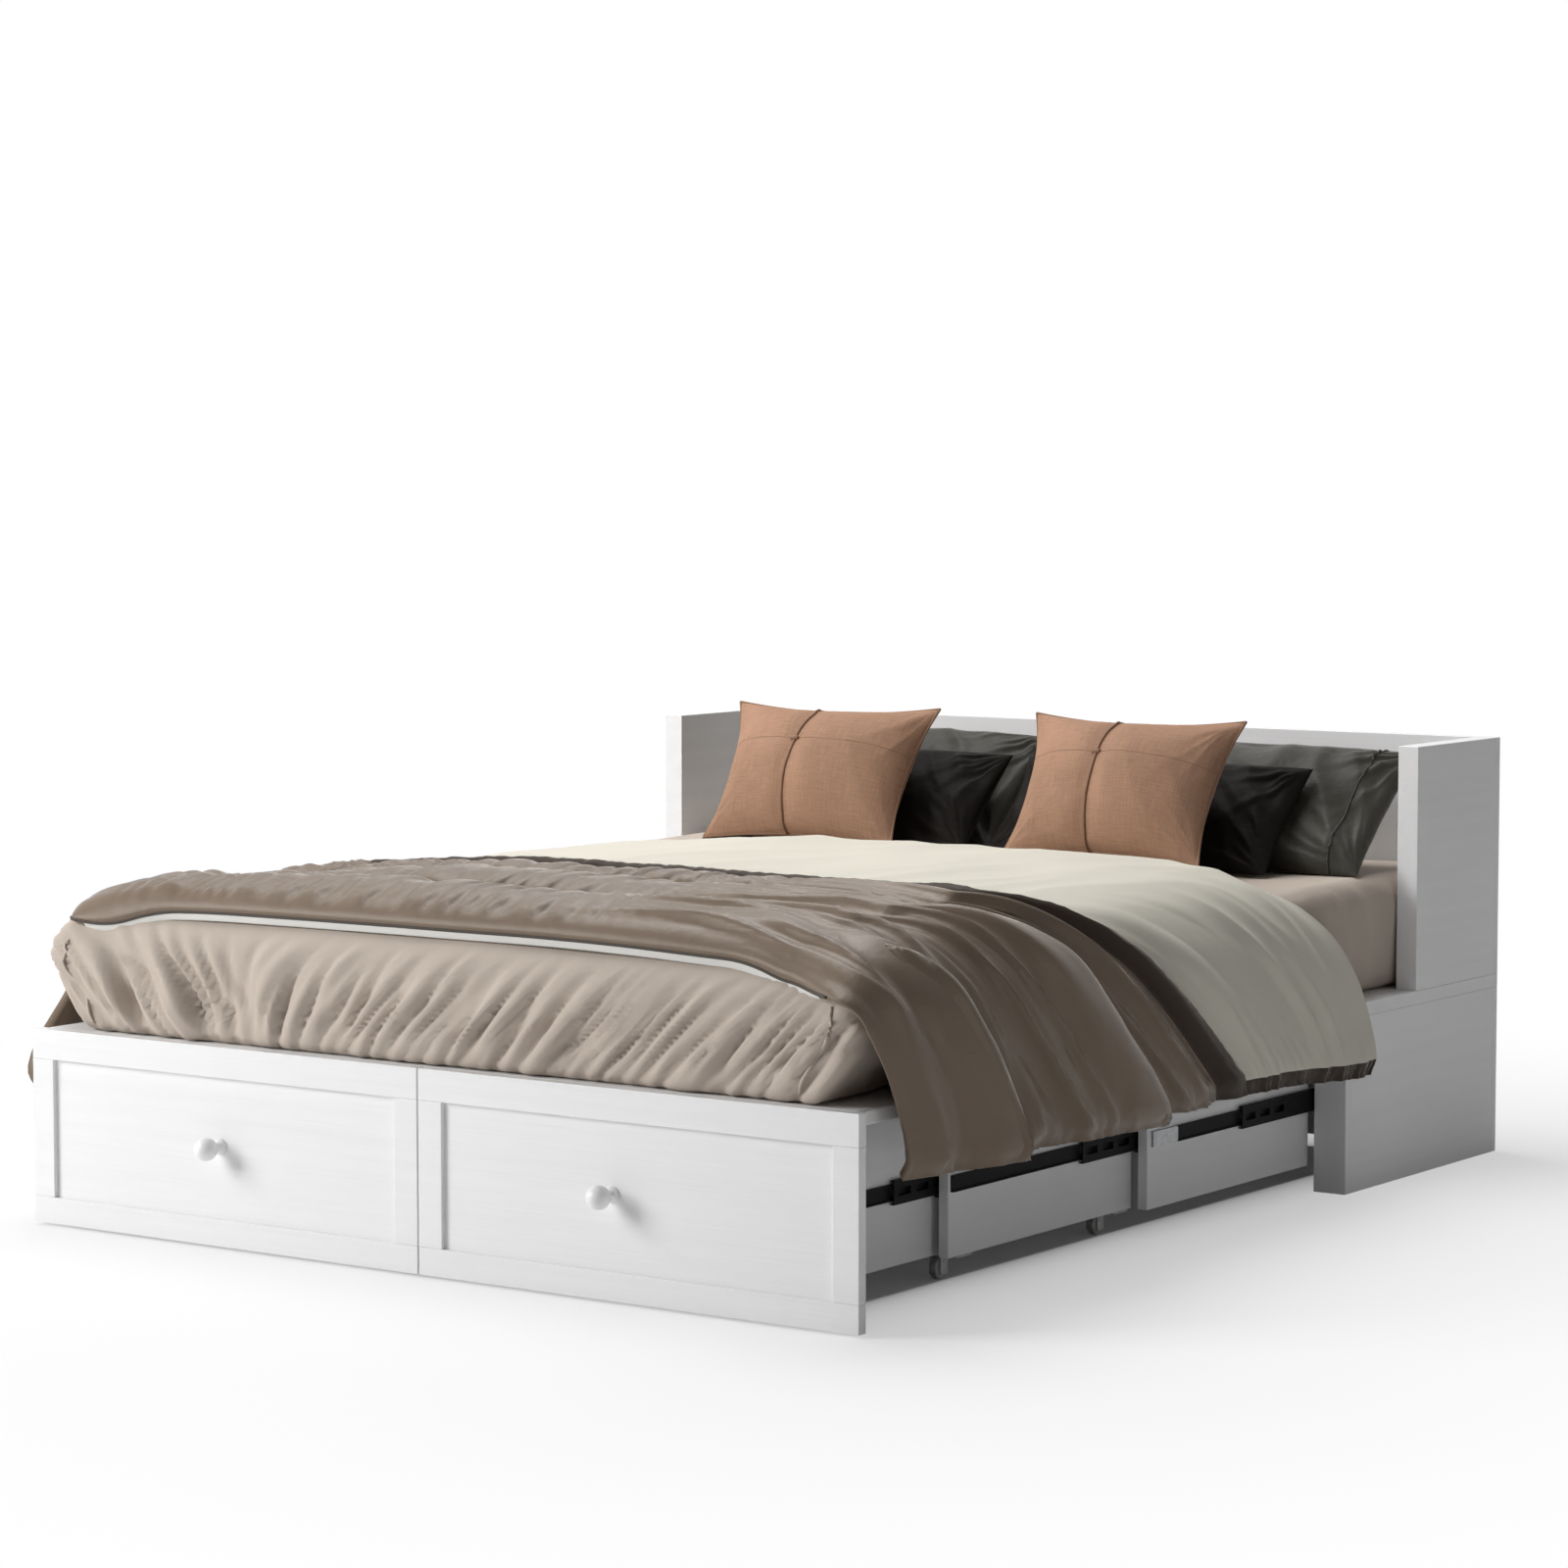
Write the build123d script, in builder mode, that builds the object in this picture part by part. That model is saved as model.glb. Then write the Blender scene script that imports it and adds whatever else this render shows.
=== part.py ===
from build123d import *
import os

# Overall sizes in millimetres. +X is the bed's right side seen from the foot,
# +Y runs from the foot to the head, and the floor is Z = 0.
bed_width = 1660
bed_length = 2100
deck_height = 330
deck_thickness = 24
headboard_height = 765
board = 18
edge_round = 1.5

# Distances from the drawer faces towards the head.
base_front = 1508
wing_front = 1771
wing_thickness = 40
post_width = 62
liner_low = 96
liner_high = 236

# Three platform stages, each one board and one slide gap wider than the one before.
slide_gap = 15
stage_names = ("front", "middle", "rear")
stage_starts = (20, 410, 960)
stage_ends = (569, 965, 1515)
stage_outer = (687, 720, 753)
stage_low = 44
brace_height = 70
rail_height = 24
deck_half_width = 815
deck_joints = (20, 514, 1010, 1507)
deck_gap = 2
deck_round = 4

# Three-member drawer slides: web start, web end, flange tip and half height of each member,
# measured across the gap from the face of the piece that is carried.
slide_members = {
    "inner": (0, 2, 6, 13),
    "middle": (7.5, 9.5, 2.5, 19),
    "outer": (12.5, 15, 4, 23),
}
flange = 2
stage_slide_height = 160
stage_slide_spans = (
    {"inner": (30, 560), "middle": (294, 739), "outer": (415, 960)},
    {"inner": (416, 960), "middle": (795, 1240), "outer": (966, 1510)},
    {"inner": (1054, 1510), "middle": (1263, 1708), "outer": (1528, 2075)},
)
catch_span = (973, 1054)
catch_thickness = 4
window_length = 34
window_height = 12
window_starts = (12, 62, 112)

# Drawers: a framed front, a board box, a turned knob and a slide on each side.
front_thickness = 19
front_low = 5
front_gap = 3
joint_line = 0.3
joint_round = 0.8
stile = 46
top_rail = 50
bottom_rail = 44
panel_setback = 8
panel_thickness = 9
box_low = 62
box_high = 262
box_length = 500
box_board = 14
bottom_thickness = 8
bottom_rise = 8
drawer_slide_height = 150
drawer_slide_span = (36, 506)
knob_places = {"left": -419, "right": 375}
knob_height = 167
knob_reach = 46
knob_ball = 19
knob_stem = 8
knob_foot = 13
knob_flange = 4
knob_taper = 5

# Fixed casters under the stages: name, distance from the foot, and sideways place.
caster_rows = {"front": (62, 640), "middle": (456, 672), "rear": (930, 672)}
caster_stage_outer = {"front": 687, "middle": 720, "rear": 720}
wheel_radius = 18
wheel_width = 14
wheel_round = 3
axle_radius = 3
running_clearance = 0.1
cheek_thickness = 3
cheek_gap = 1
plate_thickness = 3
fork_length = 38
plate_length = 44

# Mattress, with the sheet drawn over it.
mattress_half_width = 765
mattress_span = (24, 2072)
mattress_top = 532
mattress_corner = 110
mattress_edge = 90

# Quilt and duvet. Sections run from the bed's middle to the hem, as sideways place and height;
# side outlines are distances from the foot and heights.
bedding_clear = 2
cover_crown = 580
cover_hem = 214
hem_reach = 882
quilt_lift = 12
cover_section = ((520, 577), (662, 569), (762, 546), (822, 490), (852, 410), (870, 315))
lining_section = ((670, 534), (720, 523), (752, 498), (790, 440), (826, 372), (846, 300), (856, 214))
quilt_foot = ((40, 525), (54, 543), (92, 568), (150, 590), (220, 602))
quilt_head = ((585, 610), (650, 563), (760, 504), (1100, 205))
duvet_head = ((1462, 610), (1440, 572), (1374, 546), (1490, 420), (1592, 205))
cover_joint = 6

# Pillows: width, height, half thickness, sideways place, distance of the lower edge and tilt.
back_pillow = (735, 312, 68, 385, 1690, 53)
front_pillow = (600, 252, 46, 318, 1598, 49)
cushion = (440, 288, 52, 330, 1506, 32)
pillow_rim = 8
end_fullness = 1.7

sides = (("left", -1), ("right", 1))
foot_y = -(bed_length - knob_reach) / 2
half_width = bed_width / 2
deck_low = deck_height - deck_thickness
box_back = front_thickness + box_length

os.makedirs("parts", exist_ok=True)


def y_at(distance):
    return foot_y + distance


def save(piece, label):
    piece.part.label = label
    export_step(piece.part, f"parts/{label}.step")


def block(x_span, y_span, z_span, mode=Mode.ADD):
    low = [min(x_span), y_at(min(y_span)), min(z_span)]
    high = [max(x_span), y_at(max(y_span)), max(z_span)]
    middle = [(a + b) / 2 for a, b in zip(low, high)]
    with Locations(tuple(middle)):
        Box(high[0] - low[0], high[1] - low[1], high[2] - low[2], mode=mode)


def mirrored(span, sign):
    return (sign * span[0], sign * span[1])


def make_board(label, x_span, y_span, z_span, rounding=edge_round):
    with BuildPart() as plank:
        block(x_span, y_span, z_span)
        if rounding:
            fillet(plank.edges(), rounding)
    save(plank, label)


def make_board_pair(label, x_span, y_span, z_span):
    with BuildPart() as planks:
        for side, sign in sides:
            block(mirrored(x_span, sign), y_span, z_span)
        fillet(planks.edges(), edge_round)
    save(planks, label)


def channel(member, face_x, sign, y_span, height):
    web_start, web_end, tip, half = slide_members[member]
    flange_start = web_end if tip > web_end else web_start
    web = (face_x + sign * web_start, face_x + sign * web_end)
    lips = (face_x + sign * flange_start, face_x + sign * tip)
    block(web, y_span, (height - half, height + half))
    for edge in (-1, 1):
        block(lips, y_span, (height + edge * (half - flange), height + edge * half))


def channel_windows(member, face_x, sign, y_span, height):
    web_start, web_end, tip, half = slide_members[member]
    web = (face_x + sign * web_start, face_x + sign * web_end)
    for start in window_starts:
        first = y_span[0] + start
        opening = (height - window_height / 2, height + window_height / 2)
        block(web, (first, first + window_length), opening, mode=Mode.SUBTRACT)


# Head cabinet
for side, sign in sides:
    make_board(
        f"base_side_{side}",
        mirrored((half_width - board, half_width), sign),
        (base_front + board, bed_length - board),
        (0, deck_low),
    )
    make_board(
        f"headboard_wing_{side}",
        mirrored((half_width - wing_thickness, half_width), sign),
        (wing_front, bed_length - board),
        (deck_height, headboard_height),
    )
post_inner = half_width - post_width
make_board_pair("base_posts", (post_inner, half_width), (base_front, base_front + board), (0, deck_low))
make_board_pair(
    "slide_liners",
    (post_inner, post_inner + board),
    (base_front + board, bed_length - board),
    (liner_low, liner_high),
)
make_board("base_back", (-half_width, half_width), (bed_length - board, bed_length), (0, deck_low))
make_board("base_top", (-half_width, half_width), (base_front, bed_length), (deck_low, deck_height))
make_board(
    "headboard_panel",
    (-half_width, half_width),
    (bed_length - board, bed_length),
    (deck_height, headboard_height),
)

# Platform stages
for name, start, end, outer in zip(stage_names, stage_starts, stage_ends, stage_outer):
    inner = outer - board
    make_board_pair(f"{name}_stage_sides", (inner, outer), (start, end), (stage_low, deck_low))
    brace = (deck_low - brace_height, deck_low)
    make_board(f"{name}_stage_brace", (-inner, inner), (end - board, end), brace)

front_inner = stage_outer[0] - board
divider_end = stage_ends[0] - board
make_board(
    "front_stage_rail",
    (-front_inner, front_inner),
    (stage_starts[0], stage_starts[0] + board),
    (deck_low - rail_height, deck_low),
)
make_board(
    "front_stage_divider",
    (-board / 2, board / 2),
    (stage_starts[0] + board, divider_end),
    (stage_low, deck_low),
)
with BuildPart() as spines:
    for start, end in zip(stage_ends, stage_ends[1:]):
        block((-board / 2, board / 2), (start, end - board), (deck_low - brace_height, deck_low))
    fillet(spines.edges(), edge_round)
save(spines, "stage_spines")

deck_names = ("foot", "middle", "head")
for name, start, end in zip(deck_names, deck_joints, deck_joints[1:]):
    make_board(
        f"deck_board_{name}",
        (-deck_half_width, deck_half_width),
        (start, end - deck_gap),
        (deck_low, deck_height),
        rounding=deck_round,
    )

# Platform slides, drawn out to their open length
for member in slide_members:
    with BuildPart() as platform_slides:
        for outer, spans in zip(stage_outer, stage_slide_spans):
            for side, sign in sides:
                channel(member, sign * outer, sign, spans[member], stage_slide_height)
                if member == "middle":
                    channel_windows(member, sign * outer, sign, spans[member], stage_slide_height)
    save(platform_slides, f"platform_slides_{member}")

with BuildPart() as slide_catches:
    for side, sign in sides:
        face = sign * stage_outer[2]
        half = slide_members["inner"][3]
        catch = (stage_slide_height - half, stage_slide_height + half)
        block((face, face + sign * catch_thickness), catch_span, catch)
save(slide_catches, "slide_catches")

# Drawers
for side, sign in sides:
    front_near = front_gap / 2
    front_far = half_width
    bay_near = board / 2
    bay_far = front_inner
    box_near = bay_near + slide_gap
    box_far = bay_far - slide_gap
    front_high = deck_height

    stile_low = front_low + bottom_rail
    stile_high = front_high - top_rail
    with BuildPart() as front_frame:
        for low, high in ((front_low, stile_low), (stile_high, front_high)):
            block(mirrored((front_near, front_far), sign), (0, front_thickness), (low, high))
        for near, far in ((front_near, front_near + stile), (front_far - stile, front_far)):
            upright = (stile_low + joint_line, stile_high - joint_line)
            block(mirrored((near, far), sign), (0, front_thickness), upright)
        fillet(front_frame.edges(), joint_round)
    save(front_frame, f"drawer_{side}_front_frame")

    make_board(
        f"drawer_{side}_front_panel",
        mirrored((front_near + stile, front_far - stile), sign),
        (panel_setback, panel_setback + panel_thickness),
        (stile_low, stile_high),
        rounding=0,
    )

    between = mirrored((box_near + box_board, box_far - box_board), sign)
    with BuildPart() as box_boards:
        for near, far in ((box_near, box_near + box_board), (box_far - box_board, box_far)):
            block(mirrored((near, far), sign), (front_thickness, box_back), (box_low, box_high))
        for start in (front_thickness, box_back - box_board):
            across = (between[0] + sign * joint_line, between[1] - sign * joint_line)
            block(across, (start, start + box_board), (box_low, box_high))
        fillet(box_boards.edges(), joint_round)
    save(box_boards, f"drawer_{side}_box_boards")

    make_board(
        f"drawer_{side}_bottom",
        between,
        (front_thickness + box_board, box_back - box_board),
        (box_low + bottom_rise, box_low + bottom_rise + bottom_thickness),
        rounding=0,
    )

    for member in slide_members:
        with BuildPart() as drawer_slides:
            channel(member, sign * box_far, sign, drawer_slide_span, drawer_slide_height)
            channel(member, sign * box_near, -sign, drawer_slide_span, drawer_slide_height)
        save(drawer_slides, f"drawer_{side}_slides_{member}")

    knob_x = knob_places[side]
    neck_depth = (knob_ball**2 - knob_stem**2) ** 0.5
    face = y_at(panel_setback)
    knob_face = Plane(origin=(knob_x, face, knob_height), x_dir=(1, 0, 0), z_dir=(0, 0, 1))
    reach = knob_reach + panel_setback
    with BuildPart() as knob:
        with BuildSketch(knob_face):
            with BuildLine():
                centre = -(reach - knob_ball)
                Polyline(
                    (0, 0),
                    (knob_foot, 0),
                    (knob_foot, -knob_flange),
                    (knob_stem, -knob_flange - knob_taper),
                    (knob_stem, centre + neck_depth),
                )
                ThreePointArc((knob_stem, centre + neck_depth), (knob_ball, centre), (0, -reach))
                Line((0, -reach), (0, 0))
            make_face()
        revolve(axis=Axis((knob_x, face, knob_height), (0, 1, 0)))
    save(knob, f"drawer_{side}_knob")

# Casters
with BuildPart() as forks:
    for row, (distance, place) in caster_rows.items():
        for side, sign in sides:
            cheek_near = wheel_width / 2 + cheek_gap
            plate_near = place - cheek_near - cheek_thickness
            plate = mirrored((plate_near, caster_stage_outer[row]), sign)
            plate_span = (distance - plate_length / 2, distance + plate_length / 2)
            cheek_span = (distance - fork_length / 4, distance + fork_length / 4)
            plate_low = stage_low - plate_thickness
            block(plate, plate_span, (plate_low, stage_low))
            for edge in (-1, 1):
                near = place + edge * cheek_near
                far = near + edge * cheek_thickness
                block(mirrored((near, far), sign), cheek_span, (wheel_radius / 2, plate_low))
save(forks, "caster_forks")

with BuildPart() as axles:
    axle_length = wheel_width + 2 * cheek_gap
    for row, (distance, place) in caster_rows.items():
        for side, sign in sides:
            with Locations(Location((sign * place, y_at(distance), wheel_radius), (0, 90, 0))):
                Cylinder(axle_radius, axle_length)
save(axles, "caster_axles")

for row, (distance, place) in caster_rows.items():
    for side, sign in sides:
        with BuildPart() as wheel:
            with Locations(Location((sign * place, y_at(distance), wheel_radius), (0, 90, 0))):
                Cylinder(wheel_radius, wheel_width)
                fillet(wheel.edges().filter_by(GeomType.CIRCLE), wheel_round)
                Cylinder(axle_radius + running_clearance, wheel_width, mode=Mode.SUBTRACT)
        save(wheel, f"{row}_caster_wheel_{side}")

# Mattress and bedding
with BuildPart() as mattress:
    block((-mattress_half_width, mattress_half_width), mattress_span, (deck_height, mattress_top))
    fillet(mattress.edges().filter_by(Axis.Z), mattress_corner)
    fillet(mattress.faces().sort_by(Axis.Z)[-1].edges(), mattress_edge)
save(mattress, "mattress")


def lifted(section, lift):
    rise = [(height - cover_hem) / (cover_crown - cover_hem) for place, height in section]
    return [(place, height + lift * share) for (place, height), share in zip(section, rise)]


def draped_form(lift):
    half = lifted(cover_section, lift) + [(hem_reach, cover_hem)]
    across = [(-place, height) for place, height in reversed(half)] + [(0, cover_crown + lift)] + half
    with BuildSketch(Plane.XZ.offset(-y_at(bed_length))) as section:
        with BuildLine():
            Spline(*across, tangents=((0, 1), (0, -1)))
            Line((hem_reach, cover_hem), (-hem_reach, cover_hem))
        make_face()
    extrude(section.sketch, amount=bed_length)


def side_form(outline, mode):
    with BuildSketch(Plane.YZ) as side_view:
        with BuildLine():
            Polyline(*[(y_at(distance), height) for distance, height in outline], close=True)
        make_face()
    extrude(side_view.sketch, amount=bed_width, both=True, mode=mode)


def hollow_form():
    # the room under a cover: the mattress and the gap beside it, rounded over the foot
    low = cover_hem - bedding_clear
    reach, hem = lining_section[-1]
    mirrored_lining = [(-place, height) for place, height in reversed(lining_section)]
    foot = mattress_span[0] - bedding_clear
    top = mattress_top + bedding_clear
    shoulder = mattress_edge + bedding_clear
    slack = shoulder * (1 - 0.5**0.5)
    with BuildPart() as hollow:
        with BuildSketch(Plane.XZ.offset(-y_at(bed_length))):
            with BuildLine():
                Spline(*lining_section, tangents=((1, 0), (0, -1)))
                Polyline((reach, hem), (reach, low), (-reach, low), (-reach, hem))
                Spline(*mirrored_lining, tangents=((0, 1), (1, 0)))
                Line(mirrored_lining[-1], lining_section[0])
            make_face()
        extrude(amount=bed_length + shoulder)
        with BuildSketch(Plane.YZ):
            with BuildLine():
                start = (y_at(foot), top - shoulder)
                end = (y_at(foot + shoulder), top)
                ThreePointArc(start, (y_at(foot + slack), top - slack), end)
                Polyline(end, (y_at(bed_length), top), (y_at(bed_length), low), (y_at(-shoulder), low))
                Polyline((y_at(-shoulder), low), (y_at(-shoulder), top - shoulder), start)
            make_face()
        extrude(amount=bed_width, both=True, mode=Mode.INTERSECT)
    return hollow.part


room = hollow_form()
far_head = [(distance + cover_joint, height) for distance, height in quilt_head]
quilt_outline = [(quilt_foot[0][0], quilt_head[-1][1]), *quilt_foot, *quilt_head]
duvet_outline = [*far_head[::-1], *duvet_head]

with BuildPart() as quilt:
    draped_form(quilt_lift)
    side_form(quilt_outline, Mode.INTERSECT)
    add(room, mode=Mode.SUBTRACT)
save(quilt, "quilt")

with BuildPart() as duvet:
    draped_form(0)
    side_form(duvet_outline, Mode.INTERSECT)
    add(room, mode=Mode.SUBTRACT)
save(duvet, "duvet")


def lens(length, half, start, rim):
    # two shallow arcs with a rim between them
    middle, end = start + length / 2, start + length
    ThreePointArc((start, rim), (middle, half), (end, rim))
    Line((end, rim), (end, -rim))
    ThreePointArc((end, -rim), (middle, -half), (start, -rim))
    Line((start, -rim), (start, rim))


def pillow_form(sign, form, grown=0, mode=Mode.ADD):
    width, height, half, place, distance, tilt = form
    rest = mattress_top + bedding_clear
    rim = pillow_rim + grown
    stand = Plane(origin=(sign * place, y_at(distance), rest)).rotated((90 - tilt, 0, 0))
    with BuildPart(mode=Mode.PRIVATE) as stuffed:
        with BuildSketch(Plane(stand.origin, x_dir=stand.y_dir, z_dir=stand.x_dir)):
            with BuildLine():
                lens(height + 2 * grown, half + grown, -grown, rim)
            make_face()
        extrude(amount=width / 2 + grown, both=True)
        with BuildSketch(Plane(stand.origin, x_dir=stand.x_dir, z_dir=-stand.y_dir)):
            with BuildLine():
                lens(width + 2 * grown, end_fullness * (half + grown), -width / 2 - grown, rim)
            make_face()
        extrude(amount=2 * height, both=True, mode=Mode.INTERSECT)
        under = (base_front - height, bed_length)
        block((-half_width, half_width), under, (deck_height, rest), mode=Mode.SUBTRACT)
    add(stuffed.part, mode=mode)


for side, sign in sides:
    with BuildPart() as pillow:
        pillow_form(sign, back_pillow)
        pillow_form(sign, front_pillow, grown=bedding_clear, mode=Mode.SUBTRACT)
    save(pillow, f"back_pillow_{side}")
    for label, form in (("front_pillow", front_pillow), ("cushion", cushion)):
        with BuildPart() as pillow:
            pillow_form(sign, form)
        save(pillow, f"{label}_{side}")
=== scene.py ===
import math

import bpy
import numpy as np
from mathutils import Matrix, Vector


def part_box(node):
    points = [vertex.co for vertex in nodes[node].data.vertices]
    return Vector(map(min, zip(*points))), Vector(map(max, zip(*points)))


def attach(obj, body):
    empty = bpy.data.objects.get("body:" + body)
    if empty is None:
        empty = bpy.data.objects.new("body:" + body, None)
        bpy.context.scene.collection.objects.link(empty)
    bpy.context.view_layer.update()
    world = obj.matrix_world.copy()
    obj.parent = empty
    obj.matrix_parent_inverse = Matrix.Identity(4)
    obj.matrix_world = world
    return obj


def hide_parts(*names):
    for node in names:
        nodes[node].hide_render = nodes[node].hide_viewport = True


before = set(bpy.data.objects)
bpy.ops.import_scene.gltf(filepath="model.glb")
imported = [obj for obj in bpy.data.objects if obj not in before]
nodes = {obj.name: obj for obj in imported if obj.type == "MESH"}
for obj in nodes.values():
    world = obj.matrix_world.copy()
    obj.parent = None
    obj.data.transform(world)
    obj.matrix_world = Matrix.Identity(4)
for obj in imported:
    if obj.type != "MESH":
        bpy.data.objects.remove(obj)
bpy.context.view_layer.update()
scene = bpy.context.scene
print("frame loaded:", len(nodes), "nodes")

# the drawer faces stand at this Y, and d is the distance from them towards the head
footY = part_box("drawer_left_front_frame")[0].y
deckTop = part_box("deck_board_foot")[1].z


# small helpers shared by the soft pieces
def gradientNoise(x, y, seed):
    rng = np.random.RandomState(seed)
    table = rng.permutation(256)
    angle = rng.uniform(0, 2 * np.pi, 256)
    xi, yi = np.floor(x).astype(int), np.floor(y).astype(int)
    fx, fy = x - xi, y - yi
    sx = fx**3 * (fx * (fx * 6 - 15) + 10)
    sy = fy**3 * (fy * (fy * 6 - 15) + 10)

    def corner(ix, iy):
        pick = table[(table[(xi + ix) % 256] + yi + iy) % 256]
        return np.cos(angle[pick]) * (fx - ix) + np.sin(angle[pick]) * (fy - iy)

    low = corner(0, 0) * (1 - sx) + corner(1, 0) * sx
    high = corner(0, 1) * (1 - sx) + corner(1, 1) * sx
    return 1.4 * (low * (1 - sy) + high * sy)


def creases(across, along, spacing, length, seed, sharp):
    # long narrow ridges, 0 in the hollows and 1 on a ridge line
    bend = 0.35 * spacing * gradientNoise(across / (3 * spacing), along / (0.6 * length), seed + 7)
    n = gradientNoise((across + bend) / spacing, along / length, seed)
    return (1 - np.clip(np.abs(n) * 2.4, 0, 1)) ** sharp


def rise(x, start, end):
    t = np.clip((x - start) / (end - start), 0, 1)
    return t * t * (3 - 2 * t)


def smoothLine(at, stops, values):
    # a soft curve through a few given stops
    stops, values = np.asarray(stops, float), np.asarray(values, float)
    slope = np.gradient(values, stops)
    at = np.clip(at, stops[0], stops[-1])
    i = np.clip(np.searchsorted(stops, at) - 1, 0, len(stops) - 2)
    h = stops[i + 1] - stops[i]
    t = (at - stops[i]) / h
    a = (1 + 2 * t) * (1 - t) ** 2 * values[i] + t * (1 - t) ** 2 * h * slope[i]
    b = t * t * (3 - 2 * t) * values[i + 1] + t * t * (t - 1) * h * slope[i + 1]
    return a + b


def gridNormals(points):
    along = np.gradient(points, axis=0)
    across = np.gradient(points, axis=1)
    n = np.cross(along, across)
    return n / np.maximum(np.linalg.norm(n, axis=2, keepdims=True), 1e-9)


def newMesh(name, verts, faces, uvs, kinds=None):
    mesh = bpy.data.meshes.new(name)
    mesh.from_pydata([tuple(v) for v in verts], [], faces)
    mesh.validate()
    layer = mesh.uv_layers.new(name="flat")
    loopVerts = np.zeros(len(mesh.loops), int)
    mesh.loops.foreach_get("vertex_index", loopVerts)
    layer.data.foreach_set("uv", np.asarray(uvs, np.float32)[loopVerts].ravel())
    if kinds is not None:
        mesh.polygons.foreach_set("material_index", np.asarray(kinds, np.int32))
    mesh.polygons.foreach_set("use_smooth", [True] * len(mesh.polygons))
    piece = bpy.data.objects.new(name, mesh)
    scene.collection.objects.link(piece)
    return piece


def closedCover(name, top, bottom, flat, kindOf):
    # two grids that share their outer ring, sewn into one closed skin
    rows, cols = top.shape[:2]
    index = np.arange(rows * cols).reshape(rows, cols)
    under = index.copy()
    inner = (rows - 2) * (cols - 2)
    under[1:-1, 1:-1] = rows * cols + np.arange(inner).reshape(rows - 2, cols - 2)
    verts = np.concatenate([top.reshape(-1, 3), bottom[1:-1, 1:-1].reshape(-1, 3)])
    uvs = np.concatenate([flat.reshape(-1, 2), flat[1:-1, 1:-1].reshape(-1, 2)])
    faces, kinds = [], []
    for r in range(rows - 1):
        for c in range(cols - 1):
            a, b, d, e = index[r, c], index[r, c + 1], index[r + 1, c + 1], index[r + 1, c]
            faces.append((int(a), int(e), int(d), int(b)))
            kinds.append(kindOf(r, c, True))
            a, b, d, e = under[r, c], under[r, c + 1], under[r + 1, c + 1], under[r + 1, c]
            faces.append((int(a), int(b), int(d), int(e)))
            kinds.append(kindOf(r, c, False))
    return newMesh(name, verts, faces, uvs, kinds)


def outwardNormals(points):
    # normals of a draped grid, up on the bed and out at its sides
    n = -gridNormals(points)
    return n * np.sign(n[..., 2:3] + 0.3 * np.abs(n[..., 0:1]) + 1e-9)


def sameSide(points, guide):
    # normals of a displaced grid, turned the way its guide faces
    n = -gridNormals(points)
    return n * np.sign((n * guide).sum())


def rimDepth(inset, look):
    # full thickness inside, rounded to nothing over the edge
    return look["thickness"] * np.sqrt(np.clip(1 - (1 - np.clip(inset / look["edge"], 0, 1)) ** 2, 0, 1))


def tubeAlong(name, line, radius, sides=8):
    line = np.asarray(line, float)
    ahead = np.gradient(line, axis=0)
    ahead /= np.maximum(np.linalg.norm(ahead, axis=1, keepdims=True), 1e-9)
    lift = np.tile(np.array([0.13, 0.21, 0.97]), (len(line), 1))
    side = np.cross(ahead, lift)
    side /= np.linalg.norm(side, axis=1, keepdims=True)
    lift = np.cross(side, ahead)
    turns = np.arange(sides) * 2 * np.pi / sides
    ring = np.cos(turns)[None, :, None] * side[:, None] + np.sin(turns)[None, :, None] * lift[:, None]
    verts = (line[:, None] + radius * ring).reshape(-1, 3)
    faces = []
    for i in range(len(line) - 1):
        for j in range(sides):
            k = (j + 1) % sides
            faces.append((i * sides + j, i * sides + k, (i + 1) * sides + k, (i + 1) * sides + j))
    faces.append(tuple(range(sides))[::-1])
    faces.append(tuple((len(line) - 1) * sides + j for j in range(sides)))
    uvs = np.repeat(np.c_[np.linspace(0, 1, len(line)), np.zeros(len(line))], sides, axis=0)
    return newMesh(name, verts, faces, uvs)


def settle(piece, body, slotName, *materials):
    for material in materials:
        piece.data.materials.append(material)
    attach(piece, body)
    return piece


# shader node groups
def newGroup(name, inputs, outputs):
    group = bpy.data.node_groups.new(name, "ShaderNodeTree")
    for label, kind, value in inputs:
        socket = group.interface.new_socket(name=label, in_out="INPUT", socket_type=kind)
        socket.default_value = value
    for label, kind in outputs:
        group.interface.new_socket(name=label, in_out="OUTPUT", socket_type=kind)
    return group, group.nodes.new("NodeGroupInput"), group.nodes.new("NodeGroupOutput")


def mathNode(tree, operation, first, second=None):
    node = tree.nodes.new("ShaderNodeMath")
    node.operation = operation
    for slotIndex, value in enumerate((first, second)):
        if value is None:
            continue
        if isinstance(value, (int, float)):
            node.inputs[slotIndex].default_value = value
        else:
            tree.links.new(value, node.inputs[slotIndex])
    return node.outputs[0]


def noiseNode(tree, vector, scale, detail, rough=0.55):
    node = tree.nodes.new("ShaderNodeTexNoise")
    tree.links.new(vector, node.inputs["Vector"])
    if isinstance(scale, (int, float)):
        node.inputs["Scale"].default_value = scale
    else:
        tree.links.new(scale, node.inputs["Scale"])
    node.inputs["Detail"].default_value = detail
    node.inputs["Roughness"].default_value = rough
    return node.outputs["Fac"]


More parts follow.
